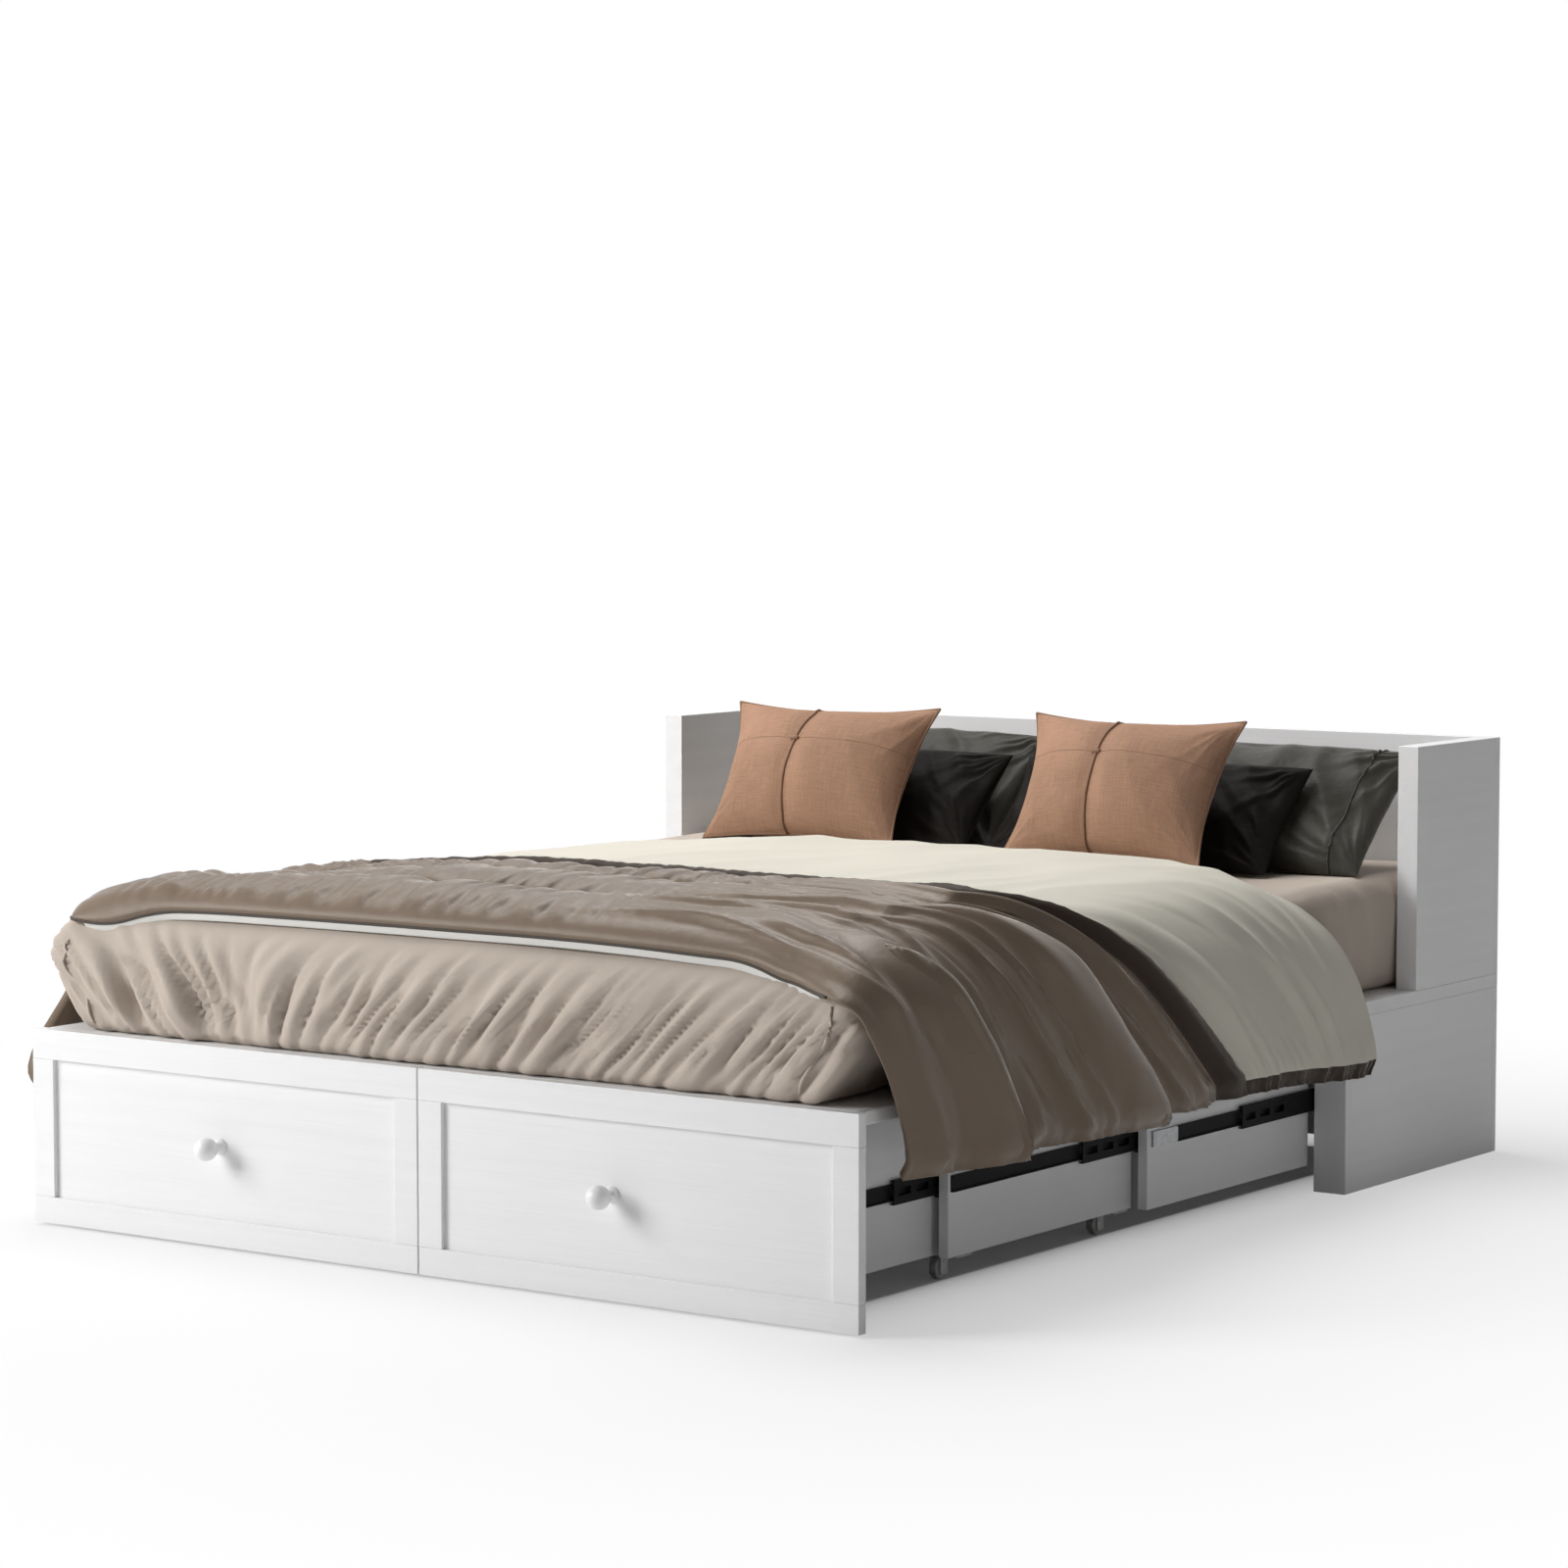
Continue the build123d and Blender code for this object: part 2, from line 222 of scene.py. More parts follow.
def weaveGroup():
    # crossing threads from the flat pattern, with slubs; Threads is per metre
    group, into, out = newGroup(
        "threadWeave",
        [("Threads", "NodeSocketFloat", 700.0), ("Slub", "NodeSocketFloat", 0.4)],
        [("Height", "NodeSocketFloat"), ("Shade", "NodeSocketFloat")],
    )
    uv = group.nodes.new("ShaderNodeUVMap")
    uv.uv_map = "flat"
    split = group.nodes.new("ShaderNodeSeparateXYZ")
    group.links.new(uv.outputs["UV"], split.inputs[0])
    turns = mathNode(group, "MULTIPLY", into.outputs["Threads"], 2 * math.pi)
    warp = mathNode(group, "SINE", mathNode(group, "MULTIPLY", split.outputs["X"], turns))
    weft = mathNode(group, "SINE", mathNode(group, "MULTIPLY", split.outputs["Y"], turns))
    cross = mathNode(group, "MULTIPLY", warp, weft)
    stretch = group.nodes.new("ShaderNodeMapping")
    stretch.inputs["Scale"].default_value = (26, 360, 1)
    group.links.new(uv.outputs["UV"], stretch.inputs["Vector"])
    stretchBack = group.nodes.new("ShaderNodeMapping")
    stretchBack.inputs["Scale"].default_value = (360, 26, 1)
    group.links.new(uv.outputs["UV"], stretchBack.inputs["Vector"])
    slubs = mathNode(
        group,
        "ADD",
        noiseNode(group, stretch.outputs[0], 1.0, 2),
        noiseNode(group, stretchBack.outputs[0], 1.0, 2),
    )
    slubs = mathNode(group, "SUBTRACT", slubs, 1.0)
    scaled = mathNode(group, "MULTIPLY", slubs, into.outputs["Slub"])
    height = mathNode(group, "ADD", mathNode(group, "MULTIPLY", cross, 0.5), scaled)
    group.links.new(height, out.inputs["Height"])
    group.links.new(mathNode(group, "ADD", scaled, 0.5), out.inputs["Shade"])
    return group


def rumpleGroup():
    # soft small creases in cloth, finer than the modelled folds
    group, into, out = newGroup(
        "clothRumple",
        [("Scale", "NodeSocketFloat", 20.0)],
        [("Height", "NodeSocketFloat"), ("Shade", "NodeSocketFloat")],
    )
    uv = group.nodes.new("ShaderNodeUVMap")
    uv.uv_map = "flat"
    first = noiseNode(group, uv.outputs["UV"], into.outputs["Scale"], 3, 0.5)
    ridge = mathNode(group, "ABSOLUTE", mathNode(group, "SUBTRACT", first, 0.5))
    broad = noiseNode(group, uv.outputs["UV"], 5.0, 2)
    group.links.new(mathNode(group, "MULTIPLY", ridge, 2.0), out.inputs["Height"])
    group.links.new(broad, out.inputs["Shade"])
    return group


def grainGroup():
    # open grain that shows through paint; Stretch is small along the grain
    group, into, out = newGroup(
        "paintedGrain",
        [("Stretch", "NodeSocketVector", (4.0, 120.0, 120.0))],
        [("Height", "NodeSocketFloat"), ("Shade", "NodeSocketFloat"), ("Sheen", "NodeSocketFloat")],
    )
    place = group.nodes.new("ShaderNodeTexCoord")
    scaled = group.nodes.new("ShaderNodeVectorMath")
    scaled.operation = "MULTIPLY"
    group.links.new(place.outputs["Object"], scaled.inputs[0])
    group.links.new(into.outputs["Stretch"], scaled.inputs[1])
    pores = noiseNode(group, scaled.outputs[0], 1.0, 4, 0.65)
    bands = noiseNode(group, scaled.outputs[0], 0.16, 2, 0.5)
    brush = noiseNode(group, place.outputs["Object"], 9.0, 3)
    height = mathNode(group, "ADD", pores, mathNode(group, "MULTIPLY", bands, 0.8))
    shade = mathNode(group, "MULTIPLY", mathNode(group, "ADD", pores, bands), 0.5)
    group.links.new(height, out.inputs["Height"])
    group.links.new(shade, out.inputs["Shade"])
    group.links.new(brush, out.inputs["Sheen"])
    return group


def wearGroup():
    # fine scratches and settled dust for the metal and plastic hardware
    group, into, out = newGroup(
        "handledWear",
        [("Scale", "NodeSocketFloat", 60.0)],
        [("Scratch", "NodeSocketFloat"), ("Dust", "NodeSocketFloat")],
    )
    place = group.nodes.new("ShaderNodeTexCoord")
    long = group.nodes.new("ShaderNodeMapping")
    long.inputs["Scale"].default_value = (1.0, 0.06, 1.0)
    group.links.new(place.outputs["Object"], long.inputs["Vector"])
    fine = noiseNode(group, long.outputs[0], mathNode(group, "MULTIPLY", into.outputs["Scale"], 12.0), 3)
    blot = noiseNode(group, place.outputs["Object"], into.outputs["Scale"], 4)
    group.links.new(fine, out.inputs["Scratch"])
    group.links.new(blot, out.inputs["Dust"])
    return group


weave, rumple, grain, wear = weaveGroup(), rumpleGroup(), grainGroup(), wearGroup()


# materials
def newMaterial(name):
    material = bpy.data.materials.new(name)
    material.use_nodes = True
    tree = material.node_tree
    return material, tree, tree.nodes["Principled BSDF"]


def placeGroup(tree, group, **values):
    node = tree.nodes.new("ShaderNodeGroup")
    node.node_tree = group
    for label, value in values.items():
        node.inputs[label].default_value = value
    return node


def shadeBetween(tree, factor, low, high, dark, light):
    ramp = tree.nodes.new("ShaderNodeValToRGB")
    ramp.color_ramp.elements[0].position = low
    ramp.color_ramp.elements[1].position = high
    ramp.color_ramp.elements[0].color = (*dark, 1)
    ramp.color_ramp.elements[1].color = (*light, 1)
    tree.links.new(factor, ramp.inputs["Fac"])
    return ramp.outputs["Color"]


def bumpFrom(tree, height, strength, distance, under=None):
    bump = tree.nodes.new("ShaderNodeBump")
    bump.inputs["Strength"].default_value = strength
    bump.inputs["Distance"].default_value = distance
    tree.links.new(height, bump.inputs["Height"])
    if under is not None:
        tree.links.new(under, bump.inputs["Normal"])
    return bump.outputs["Normal"]


def tinted(colour, share):
    return tuple(min(1.0, c * share) for c in colour)


def roughBetween(tree, shader, factor, low, high):
    rough = tree.nodes.new("ShaderNodeMapRange")
    rough.inputs["To Min"].default_value = low
    rough.inputs["To Max"].default_value = high
    tree.links.new(factor, rough.inputs["Value"])
    tree.links.new(rough.outputs[0], shader.inputs["Roughness"])


def paintedBoard(name, look):
    material, tree, shader = newMaterial(name)
    fibre = placeGroup(tree, grain, Stretch=look["grainStretch"])
    colour = look["colour"]
    tree.links.new(
        shadeBetween(tree, fibre.outputs["Shade"], 0.3, 0.7, tinted(colour, 0.955), tinted(colour, 1.015)),
        shader.inputs["Base Color"],
    )
    rough = look["roughness"]
    roughBetween(tree, shader, fibre.outputs["Sheen"], rough - 0.07, rough + 0.09)
    pores = bumpFrom(tree, fibre.outputs["Height"], look["grainDepth"], 0.0012)
    tree.links.new(pores, shader.inputs["Normal"])
    shader.inputs["Specular IOR Level"].default_value = 0.4
    return material


def wovenCloth(name, look):
    material, tree, shader = newMaterial(name)
    threads = placeGroup(tree, weave, Threads=look["threads"], Slub=look["slub"])
    creased = placeGroup(tree, rumple, Scale=look["rumple"])
    colour = look["colour"]
    mixed = tree.nodes.new("ShaderNodeMix")
    mixed.data_type = "FLOAT"
    mixed.inputs["Factor"].default_value = look["slubShade"]
    tree.links.new(creased.outputs["Shade"], mixed.inputs["A"])
    tree.links.new(threads.outputs["Shade"], mixed.inputs["B"])
    dark, light = tinted(colour, 1 - look["mottle"]), tinted(colour, 1 + look["mottle"])
    shade = shadeBetween(tree, mixed.outputs["Result"], 0.25, 0.75, dark, light)
    tree.links.new(shade, shader.inputs["Base Color"])
    soft = bumpFrom(tree, creased.outputs["Height"], look["rumpleDepth"], 0.004)
    woven = bumpFrom(tree, threads.outputs["Height"], look["weaveDepth"], 0.0006, soft)
    tree.links.new(woven, shader.inputs["Normal"])
    shader.inputs["Roughness"].default_value = look["roughness"]
    shader.inputs["Specular IOR Level"].default_value = look.get("specular", 0.25)
    shader.inputs["Specular Tint"].default_value = (*look.get("specularTint", (1, 1, 1)), 1)
    shader.inputs["Sheen Weight"].default_value = look["sheen"]
    shader.inputs["Sheen Roughness"].default_value = look.get("sheenRoughness", 0.4)
    shader.inputs["Sheen Tint"].default_value = (*look.get("sheenTint", tinted(colour, 1.6)), 1)
    return material


def hardware(name, look):
    material, tree, shader = newMaterial(name)
    handled = placeGroup(tree, wear, Scale=look["wearScale"])
    colour = look["colour"]
    tree.links.new(
        shadeBetween(tree, handled.outputs["Dust"], 0.35, 0.75, tinted(colour, 0.85), tinted(colour, 1.25)),
        shader.inputs["Base Color"],
    )
    rough = look["roughness"]
    roughBetween(tree, shader, handled.outputs["Scratch"], rough - 0.08, rough + 0.12)
    tree.links.new(bumpFrom(tree, handled.outputs["Scratch"], 0.12, 0.0004), shader.inputs["Normal"])
    shader.inputs["Metallic"].default_value = look["metallic"]
    shader.inputs["Specular IOR Level"].default_value = look.get("specular", 0.3)
    return material


boardLook = {
    "colour": (0.84, 0.84, 0.845), "roughness": 0.42, "grainDepth": 0.22, "grainStretch": (5, 150, 260),
}
boardAcross = paintedBoard("boardGrainAcross", boardLook)
boardAlong = paintedBoard("boardGrainAlong", {**boardLook, "grainStretch": (150, 5, 260)})
boardUpright = paintedBoard("boardGrainUpright", {**boardLook, "grainStretch": (260, 150, 5)})
laminate = paintedBoard("drawerLaminate", {
    **boardLook, "colour": (0.80, 0.80, 0.79), "roughness": 0.5, "grainStretch": (90, 90, 90),
})
knobPaint = paintedBoard("knobPaint", {
    **boardLook, "roughness": 0.3, "grainDepth": 0.08, "grainStretch": (60, 60, 60),
})
blackSteel = hardware("slideBlack", {
    "colour": (0.012, 0.012, 0.013), "roughness": 0.42, "metallic": 0.0, "wearScale": 40.0,
    "specular": 0.03,
})
zincSteel = hardware("zincPlate", {
    "colour": (0.26, 0.265, 0.27), "roughness": 0.36, "metallic": 1.0, "wearScale": 70.0,
})
casterShell = hardware("casterShell", {
    "colour": (0.55, 0.55, 0.56), "roughness": 0.5, "metallic": 0.0, "wearScale": 90.0,
})
casterTread = hardware("casterTread", {
    "colour": (0.40, 0.395, 0.385), "roughness": 0.7, "metallic": 0.0, "wearScale": 120.0,
})

sheetCloth = wovenCloth("sheetCotton", {
    "colour": (0.50, 0.43, 0.37), "mottle": 0.06, "threads": 900.0, "slub": 0.3, "slubShade": 0.3,
    "rumple": 22.0, "rumpleDepth": 0.25, "weaveDepth": 0.18, "roughness": 0.75, "sheen": 0.35,
})
quiltCloth = wovenCloth("quiltSateen", {
    "colour": (0.185, 0.140, 0.104), "mottle": 0.08, "threads": 1000.0, "slub": 0.25, "slubShade": 0.3,
    "rumple": 26.0, "rumpleDepth": 0.25, "weaveDepth": 0.12, "roughness": 0.30, "sheen": 1.0,
    "specular": 0.18, "specularTint": (1.0, 0.92, 0.84),
    "sheenRoughness": 0.22, "sheenTint": (1.0, 0.93, 0.86),
})
bandCloth = wovenCloth("bandSateen", {
    "colour": (0.045, 0.033, 0.025), "mottle": 0.1, "threads": 900.0, "slub": 0.3, "slubShade": 0.3,
    "rumple": 40.0, "rumpleDepth": 0.3, "weaveDepth": 0.15, "roughness": 0.5, "sheen": 1.0,
    "specular": 0.08, "sheenRoughness": 0.2, "sheenTint": (1.0, 0.93, 0.86),
})
liningCloth = wovenCloth("liningCotton", {
    "colour": (0.70, 0.69, 0.66), "mottle": 0.04, "threads": 800.0, "slub": 0.3, "slubShade": 0.3,
    "rumple": 30.0, "rumpleDepth": 0.2, "weaveDepth": 0.15, "roughness": 0.8, "sheen": 0.3,
})
pipingCloth = wovenCloth("pipingCord", {
    "colour": (0.07, 0.058, 0.05), "mottle": 0.12, "threads": 300.0, "slub": 0.3, "slubShade": 0.5,
    "rumple": 60.0, "rumpleDepth": 0.1, "weaveDepth": 0.3, "roughness": 0.7, "sheen": 0.3,
})
duvetCloth = wovenCloth("duvetCotton", {
    "colour": (0.67, 0.64, 0.555), "mottle": 0.035, "threads": 900.0, "slub": 0.3, "slubShade": 0.3,
    "rumple": 14.0, "rumpleDepth": 0.2, "weaveDepth": 0.12, "roughness": 0.8, "sheen": 0.05,
})
backPillowCloth = wovenCloth("backPillowSateen", {
    "colour": (0.048, 0.045, 0.037), "mottle": 0.1, "threads": 1000.0, "slub": 0.25, "slubShade": 0.3,
    "rumple": 24.0, "rumpleDepth": 0.4, "weaveDepth": 0.1, "roughness": 0.45, "sheen": 0.4, "specular": 0.1,
    "sheenRoughness": 0.3, "sheenTint": (1.0, 0.97, 0.92),
})
frontPillowCloth = wovenCloth("frontPillowSateen", {
    "colour": (0.011, 0.0093, 0.008), "mottle": 0.1, "threads": 1000.0, "slub": 0.25, "slubShade": 0.3,
    "rumple": 24.0, "rumpleDepth": 0.35, "weaveDepth": 0.1, "roughness": 0.5, "sheen": 0.0,
    "specular": 0.03,
})
cushionCloth = wovenCloth("cushionLinen", {
    "colour": (0.365, 0.212, 0.138), "mottle": 0.30, "threads": 520.0, "slub": 0.8, "slubShade": 0.5,
    "rumple": 12.0, "rumpleDepth": 0.1, "weaveDepth": 0.5, "roughness": 0.85, "sheen": 0.35,
})
cushionPiping = wovenCloth("cushionPiping", {
    "colour": (0.27, 0.160, 0.105), "mottle": 0.2, "threads": 300.0, "slub": 0.7, "slubShade": 0.6,
    "rumple": 40.0, "rumpleDepth": 0.1, "weaveDepth": 0.4, "roughness": 0.85, "sheen": 0.3,
})
print("materials ready")


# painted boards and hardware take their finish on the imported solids
def boardFinish(node):
    if node.endswith("knob"):
        return knobPaint
    if node == "caster_axles" or node == "slide_catches":
        return zincSteel
    if "slides" in node:
        return blackSteel
    if node == "caster_forks":
        return casterShell
    if "wheel" in node:
        return casterTread
    if node.endswith(("box_boards", "_bottom")):
        return laminate
    if node == "base_posts":
        return boardUpright
    if "side" in node or "wing" in node or node in ("slide_liners", "front_stage_divider", "stage_spines"):
        return boardAlong
    return boardAcross


for nodeName, nodeObject in nodes.items():
    nodeObject.data.materials.clear()
    nodeObject.data.materials.append(boardFinish(nodeName))
print("boards finished")


# mattress in its fitted sheet
mattress = {
    "halfWidth": 0.783, "footSwell": 0.030, "footTuck": 0.062, "foot": 0.016, "head": 2.066, "top": 0.534,
    "edgeRadius": 0.045, "footRadius": 0.082, "creaseDepth": 0.025, "creaseSpacing": 0.052,
    "pressedIn": 0.026, "pressedDown": 0.020, "lowRadius": 0.03, "sidePull": 0.007, "crown": 0.004,
    "seamAt": 0.945, "seamRadius": 0.0028, "leanFrom": -0.38, "leanMost": 1.0, "leanOver": 0.28, "seed": 11,
}


def makeMattress():
    m = mattress
    xs = np.linspace(-1, 1, 190)
    ds = np.concatenate([np.linspace(m["foot"], 0.30, 34)[:-1], np.linspace(0.30, m["head"], 90)])
    zs = np.linspace(deckTop + 0.001, m["top"], 26)
    low, high = zs[0], zs[-1]
    verts, index = [], {}

    def vertex(i, j, k):
        key = (i, j, k)
        if key not in index:
            index[key] = len(verts)
            verts.append((xs[i], ds[j], zs[k]))
        return index[key]

    faces = []
    nx, nd, nz = len(xs), len(ds), len(zs)
    for i in range(nx - 1):
        for j in range(nd - 1):
            for k, flip in ((0, True), (nz - 1, False)):
                q = (vertex(i, j, k), vertex(i + 1, j, k), vertex(i + 1, j + 1, k), vertex(i, j + 1, k))
                faces.append(q[::-1] if flip else q)
    for i in range(nx - 1):
        for k in range(nz - 1):
            for j, flip in ((0, False), (nd - 1, True)):
                q = (vertex(i, j, k), vertex(i + 1, j, k), vertex(i + 1, j, k + 1), vertex(i, j, k + 1))
                faces.append(q[::-1] if flip else q)
    for j in range(nd - 1):
        for k in range(nz - 1):
            for i, flip in ((0, True), (nx - 1, False)):
                q = (vertex(i, j, k), vertex(i, j + 1, k), vertex(i, j + 1, k + 1), vertex(i, j, k + 1))
                faces.append(q[::-1] if flip else q)
    p = np.array(verts)
    # rounded box: pull every skin point to the inner box and push it out by the radius
    share = (p[:, 2] - low) / (high - low)
    footward = 1 - rise(p[:, 1], 0.15, 0.55)
    covered = rise(p[:, 1], 0.12, 0.30) * (1 - rise(p[:, 1], 1.38, 1.52))
    wide = m["halfWidth"] + m["footSwell"] * footward - m["pressedIn"] * covered
    p[:, 0] *= wide
    upper = m["edgeRadius"] + (m["footRadius"] - m["edgeRadius"]) * footward
    upper = np.maximum(upper, m["footRadius"] * covered)
    radius = np.where(share > 0.5, upper, m["lowRadius"] + (upper - m["lowRadius"]) * share / 0.5)
    lo = np.c_[-wide, np.full(len(p), m["foot"]), np.full(len(p), low)]
    hi = np.c_[wide, np.full(len(p), m["head"]), np.full(len(p), high)]
    inner = np.clip(p, lo + radius[:, None], hi - radius[:, None])
    out = p - inner
    length = np.linalg.norm(out, axis=1)
    out /= np.maximum(length, 1e-9)[:, None]
    # the upright corners are squarer than the edges round the top
    plan = np.abs(out[:, :2])
    squarer = np.hypot(plan[:, 0], plan[:, 1]) / np.maximum((plan**8).sum(axis=1) ** 0.125, 1e-6)
    squarer = np.maximum(squarer, 1.0)
    p = inner + radius[:, None] * out * np.c_[squarer, squarer, np.ones(len(p))]
    # the sheet is pulled under, so the sides lean in towards the deck
    tuck = (1 - rise(share, 0.0, 0.62)) * m["footTuck"] * (0.1 + 0.9 * footward)
    p[:, 0] -= np.sign(p[:, 0]) * tuck * rise(np.abs(p[:, 0]), 0.45, 0.75)
    flat = np.c_[p[:, 0], p[:, 1] + p[:, 2]]
    # pulled creases fan out over the foot end from where the sheet is tucked in
    face = rise(-out[:, 1], 0.1, 0.7) * rise(0.53 - p[:, 2], 0.0, 0.07)
    face = face * (0.3 + 0.7 * rise(p[:, 2] - deckTop, 0.005, 0.06))
    slant = m["leanMost"] * np.tanh((p[:, 0] - m["leanFrom"]) / m["leanOver"])
    across = p[:, 0] - slant * (p[:, 2] - deckTop)
    hill = gradientNoise(across / (1.5 * m["creaseSpacing"]), p[:, 2] / 0.5, m["seed"])
    groove = creases(across, p[:, 2], m["creaseSpacing"], 0.45, m["seed"] + 1, 1.3)
    fine = creases(across, p[:, 2], 0.45 * m["creaseSpacing"], 0.25, m["seed"] + 3, 1.4)
    # deeper below the top edge, and on the left
    onLeft = rise(-p[:, 0], 0.15, 0.55) * (1 - rise(-p[:, 0], 0.62, 0.74))
    strength = (0.35 + 0.65 * rise(0.50 - p[:, 2], 0.0, 0.12)) * (1 + 0.6 * onLeft)
    lift = face * strength * m["creaseDepth"] * (0.5 * hill - 0.95 * (groove - 0.35) - 0.5 * (fine - 0.35))
    # soft upright pulls down the long sides
    side = rise(np.abs(out[:, 0]), 0.5, 0.95)
    pull = creases(p[:, 1] + 0.25 * p[:, 2], p[:, 2], 0.11, 0.4, m["seed"] + 9, 1.0)
    lift = lift + side * m["sidePull"] * (pull - 0.4)
    crown = gradientNoise(p[:, 0] / 0.35, p[:, 1] / 0.35, m["seed"] + 13)
    crown = m["crown"] * crown * rise(out[:, 2], 0.6, 1.0)
    p = p + out * (lift + crown)[:, None]
    p[:, 2] -= m["pressedDown"] * covered * rise(p[:, 2], 0.40, 0.52)
    p[:, 2] = np.maximum(p[:, 2], deckTop + 0.0008)
    p[:, 1] += footY
    piece = newMesh("mattress_in_sheet", p, faces, flat)
    settle(piece, "platform", "sheet_fabric", sheetCloth)
    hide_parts("mattress")
    # the welted seam down each foot corner
    for side, sign in (("left", -1), ("right", 1)):
        column = int(np.argmin(np.abs(xs - sign * m["seamAt"])))
        line = np.array([p[index[(column, 0, row)]] for row in range(1, int(0.8 * nz))])
        seam = tubeAlong(f"sheet_seam_{side}", line - np.array([0, 0.001, 0]), m["seamRadius"])
        settle(seam, "platform", "sheet_fabric", sheetCloth)
    return piece


makeMattress()
print("mattress ready")


# the made bedding: one draped section shared by the quilt and the duvet
section = {
    "across": (0.0, 0.30, 0.52, 0.66, 0.760, 0.820, 0.846, 0.856, 0.860),
    "height": (0.578, 0.578, 0.575, 0.568, 0.546, 0.490, 0.410, 0.315, 0.222),
    "shoulder": 0.76, "leftFall": 0.030,
}


def sectionArc():
    # places along the section and their arc lengths, from the bed's middle to the hem
    stops = np.arange(len(section["across"]))
    t = np.linspace(0, stops[-1], 400)
    x = smoothLine(t, stops, section["across"])
    z = smoothLine(t, stops, section["height"])
    return x, z, np.concatenate([[0], np.cumsum(np.hypot(np.diff(x), np.diff(z)))])


sectionX, sectionZ, arcLength = sectionArc()
hemArc = arcLength[-1]
shoulderArc = float(np.interp(section["shoulder"], sectionX, arcLength))


def onSection(w):
    x = np.sign(w) * np.interp(np.abs(w), arcLength, sectionX)
    return x, np.interp(np.abs(w), arcLength, sectionZ)


def crownAlong(d):
    # the bed is highest under the quilt and falls to the foot and the head
    stops = (0.0, 0.03, 0.06, 0.12, 0.25, 0.5, 0.9, 1.3, 1.6)
    heights = (-0.105, -0.066, -0.036, -0.010, 0.0, 0.004, 0.0, -0.010, -0.020)
    return smoothLine(d, stops, heights)


def drape(w, d):
    x, z = onSection(w)
    hang = rise(np.abs(w), shoulderArc - 0.12, shoulderArc + 0.12)
    fall = rise(-w, 0.15, shoulderArc) * (1 - rise(-w, shoulderArc, hemArc)) * rise(d, 0.06, 0.35)
    z = z - section["leftFall"] * fall
    return np.stack([x, d + footY, z + crownAlong(d) * (1 - hang)], axis=-1), hang


def edgeSpacing(length, count):
    # close together at both ends, even in the middle
    ends = np.array([0, 0.0025, 0.006, 0.011, 0.018, 0.028])
    middle = np.linspace(0.04, length - 0.04, count)
    return np.concatenate([ends, middle, length - ends[::-1]]) / length


quilt = {
    "footTop": 0.058, "headTop": 0.575, "headHem": 1.125, "headHemLeft": 0.95,
    "thickness": 0.028, "edge": 0.010, "seams": (0.0, 0.36, 0.70, 0.92, 1.0), "puff": 0.026,
    "foldAt": (0.22, 0.63), "foldDepth": (0.070, 0.070), "foldHalf": 0.034, "lap": 0.12,
    "leftBack": 0.07, "rightForward": 0.045, "rightSlant": 0.08, "leftForward": 0.035, "flareFrom": 0.68,
    "pucker": 0.016, "smallPucker": 0.004, "swell": 0.005, "hill": 0.019, "pull": 0.013, "finePull": 0.003,
    "hemGather": 0.007, "hemTuck": 0.018, "ruffle": 0.002, "bandFrom": 0.918, "liningTo": 0.14,
    "length": 0.62, "hangThin": 0.45, "pipingRadius": 0.0024, "seed": 41,
}


def quiltEdges(w):
    # foot and head edges, as distances from the drawer faces, across the bed
    down = rise(np.abs(w), shoulderArc - 0.06, hemArc)
    wave = 0.008 * gradientNoise(w / 0.33, w * 0 + 0.5, quilt["seed"])
    foot = quilt["footTop"] - 0.026 * rise(np.abs(w), 0.55, shoulderArc) + 0.02 * down + wave * (1 - down)
    drawnBack = rise(-w, shoulderArc, shoulderArc + 0.07) * (1 - rise(-w, hemArc - 0.20, hemArc - 0.02))
    foot = foot + quilt["leftBack"] * drawnBack
    foot = foot - quilt["rightForward"] * rise(w, shoulderArc - 0.08, shoulderArc + 0.08)
    foot = foot + quilt["rightSlant"] * rise(w, shoulderArc + 0.02, hemArc)
    foot = foot - quilt["leftForward"] * rise(-w, hemArc - 0.20, hemArc - 0.06)
    flare = np.where(w > 0, quilt["headHem"], quilt["headHemLeft"]) - quilt["headTop"]
    slant = np.clip((np.abs(w) - quilt["flareFrom"]) / (hemArc - quilt["flareFrom"]), 0, 1) ** 0.9
    head = quilt["headTop"] + flare * slant + 0.02 * gradientNoise(w / 0.25, w * 0 + 3.5, quilt["seed"])
    return foot, head


def panelFolds(v, hang):
    # one hanging panel laps over the next: how far it stands out, and how far it slides along the bed
    out, slide = np.zeros_like(v), np.zeros_like(v)
    half, start = quilt["foldHalf"], 0.0
    for at, depth in zip(quilt["foldAt"], quilt["foldDepth"]):
        t = np.clip((v - start) / (at - start), 0, 1)
        out += depth * (0.35 * t + 0.65 * t**2.5) * (1 - rise(v, at - half, at + half)) * (v >= start)
        step = (v - at) / half
        slide -= quilt["lap"] * step * np.exp(-step * step)
        start = at
    return out * hang**1.2, slide * rise(hang, 0.35, 1.0)


